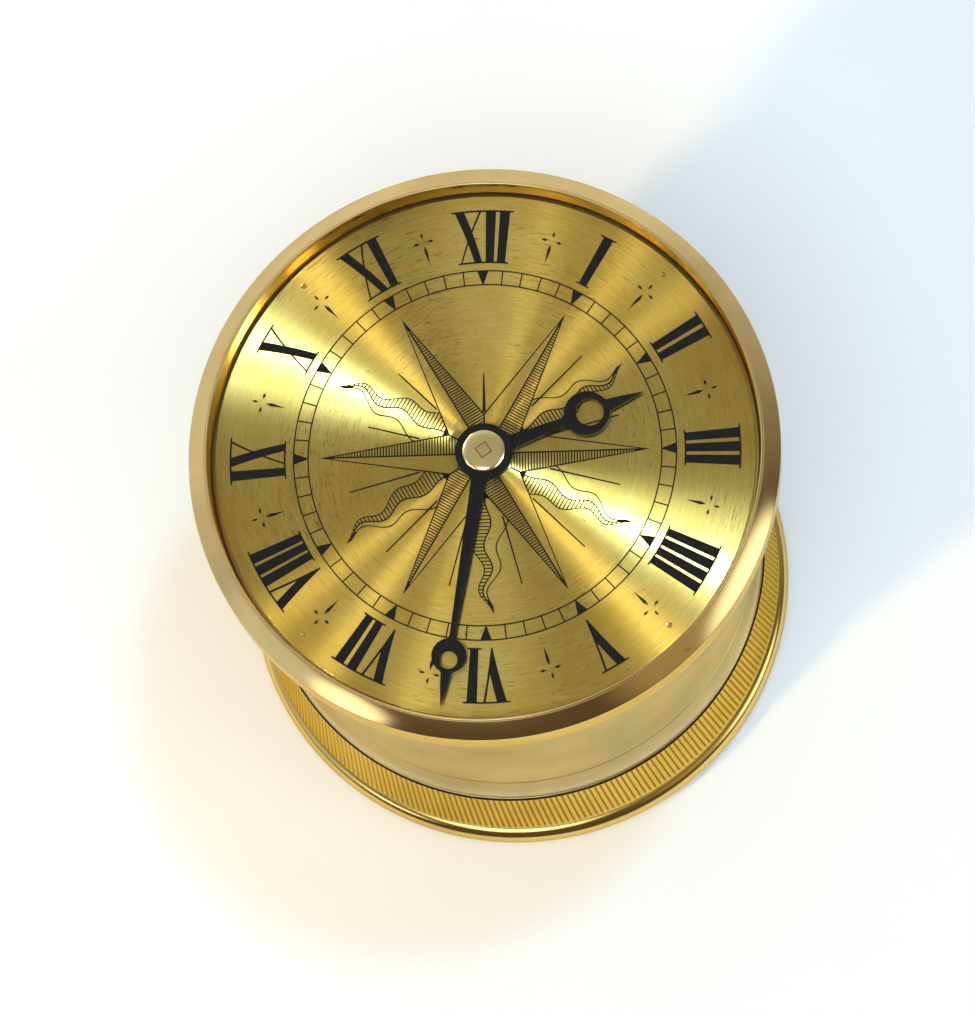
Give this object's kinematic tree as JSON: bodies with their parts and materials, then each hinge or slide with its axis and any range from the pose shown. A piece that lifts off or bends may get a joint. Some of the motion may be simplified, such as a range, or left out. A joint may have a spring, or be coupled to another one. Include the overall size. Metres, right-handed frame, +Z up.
{
  "type": "drum desk clock",
  "caption": "Round brass drum desk clock lying on its back: flared reeded foot ring, chamfered bezel, engraved dial with Roman numerals, two ring-and-spear hands and a wind-up lever movement.",
  "frame": {"origin": "centre of the foot ring on the table", "axes": "+Z up through the dial's centre, +Y towards XII, +X towards III"},
  "size_m": [0.08, 0.08, 0.0747],
  "materials": {
    "satin_brass": "satin turned brass, champagne tone",
    "polished_brass": "polished brass",
    "dial_brass": "circular brushed gilt brass with black printing",
    "plate_brass": "fine brushed brass",
    "steel": "bright steel",
    "blued_steel": "blued spring steel",
    "black_steel": "matt black",
    "clear_glass": "clear flat glass"
  },
  "bodies": {
    "case": {"case_drum": "satin_brass", "base_ring": "polished_brass", "bezel": "polished_brass", "glass": "clear_glass", "dial_reflector_ring": "polished_brass", "dial_plate": "dial_brass", "dial_pin_1": "polished_brass", "dial_pin_2": "polished_brass", "dial_pin_3": "polished_brass", "dial_pin_4": "polished_brass", "front_plate": "plate_brass", "back_plate": "plate_brass", "pillar_1": "plate_brass", "pillar_2": "plate_brass", "pillar_3": "plate_brass", "pillar_screw_1": "steel", "pillar_screw_2": "steel", "pillar_screw_3": "steel", "case_screw_1": "steel", "case_screw_2": "steel", "case_screw_3": "steel", "back_cover": "satin_brass", "cover_screw_1": "steel", "cover_screw_2": "steel", "cover_screw_3": "steel", "click_spring": "steel", "click_screw": "steel", "balance_cock": "plate_brass", "cock_screw": "steel", "pallet_cock": "plate_brass", "minute_stud": "steel"},
    "centre_arbor": {"centre_arbor": "steel", "centre_wheel": "plate_brass", "cannon_pinion": "steel", "minute_hand": "black_steel", "hand_collet": "polished_brass", "set_knob": "polished_brass"},
    "hour_wheel": {"hour_wheel": "plate_brass", "hour_hand": "black_steel"},
    "minute_wheel": {"minute_wheel": "plate_brass"},
    "barrel": {"barrel": "plate_brass", "barrel_cap": "plate_brass", "mainspring": "blued_steel"},
    "barrel_arbor": {"barrel_arbor": "steel", "ratchet_wheel": "steel", "winding_key": "polished_brass"},
    "click": {"click": "steel"},
    "third_arbor": {"third_arbor": "steel", "third_wheel": "plate_brass"},
    "fourth_arbor": {"fourth_arbor": "steel", "fourth_wheel": "plate_brass"},
    "escape_arbor": {"escape_arbor": "steel", "escape_wheel": "plate_brass"},
    "pallet_lever": {"pallet_lever": "steel", "pallet_staff": "steel"},
    "balance": {"balance_wheel": "plate_brass", "balance_staff": "steel", "impulse_roller": "steel", "hairspring": "blued_steel"},
    "regulator_index": {"regulator_index": "steel"}
  },
  "joints": [
    {"name": "hands_turn", "type": "hinge", "parent": "case", "child": "centre_arbor", "pos_m": [0, 0, 0.0715], "axis": [0, 0, -1], "continuous": true},
    {"name": "hour_wheel_turn", "type": "hinge", "parent": "case", "child": "hour_wheel", "pos_m": [0, 0, 0.0685], "axis": [0, 0, -1], "continuous": true},
    {"name": "minute_wheel_turn", "type": "hinge", "parent": "case", "child": "minute_wheel", "pos_m": [-0.00677, -0.00246, 0.067], "axis": [0, 0, -1], "continuous": true},
    {"name": "barrel_turn", "type": "hinge", "parent": "case", "child": "barrel", "pos_m": [-0.00292, 0.01654, 0.055], "axis": [0, 0, -1], "continuous": true},
    {"name": "third_wheel_turn", "type": "hinge", "parent": "case", "child": "third_arbor", "pos_m": [0.01565, -0.00419, 0.057], "axis": [0, 0, -1], "continuous": true},
    {"name": "fourth_wheel_turn", "type": "hinge", "parent": "case", "child": "fourth_arbor", "pos_m": [0.00678, -0.01449, 0.05], "axis": [0, 0, -1], "continuous": true},
    {"name": "escape_wheel_turn", "type": "hinge", "parent": "case", "child": "escape_arbor", "pos_m": [-0.00484, -0.01696, 0.0394], "axis": [0, 0, -1], "continuous": true},
    {"name": "winding_turn", "type": "hinge", "parent": "case", "child": "barrel_arbor", "pos_m": [-0.00292, 0.01654, 0.016], "axis": [0, 0, 1], "range_deg": [0, 2160]},
    {"name": "click_lift", "type": "hinge", "parent": "case", "child": "click", "pos_m": [-0.01175, 0.01333, 0.0403], "axis": [0, 0, -1], "range_deg": [0, 12]},
    {"name": "lever_swing", "type": "hinge", "parent": "case", "child": "pallet_lever", "pos_m": [-0.00995, -0.01401, 0.0396], "axis": [0, 0, 1], "range_deg": [-5, 5]},
    {"name": "balance_swing", "type": "hinge", "parent": "case", "child": "balance", "pos_m": [-0.01532, -0.01091, 0.0356], "axis": [0, 0, 1], "range_deg": [-250, 250], "deforming": ["hairspring"]},
    {"name": "index_turn", "type": "hinge", "parent": "case", "child": "regulator_index", "pos_m": [-0.01532, -0.01091, 0.0306], "axis": [0, 0, 1], "range_deg": [-25, 25]}
  ],
  "couplings": [
    {"joint": "hour_wheel_turn", "follows": "hands_turn", "ratio": 0.083333},
    {"joint": "minute_wheel_turn", "follows": "hands_turn", "ratio": -0.33333},
    {"joint": "barrel_turn", "follows": "hands_turn", "ratio": -0.16667},
    {"joint": "third_wheel_turn", "follows": "hands_turn", "ratio": -8},
    {"joint": "fourth_wheel_turn", "follows": "hands_turn", "ratio": 60},
    {"joint": "escape_wheel_turn", "follows": "hands_turn", "ratio": -600}
  ]
}
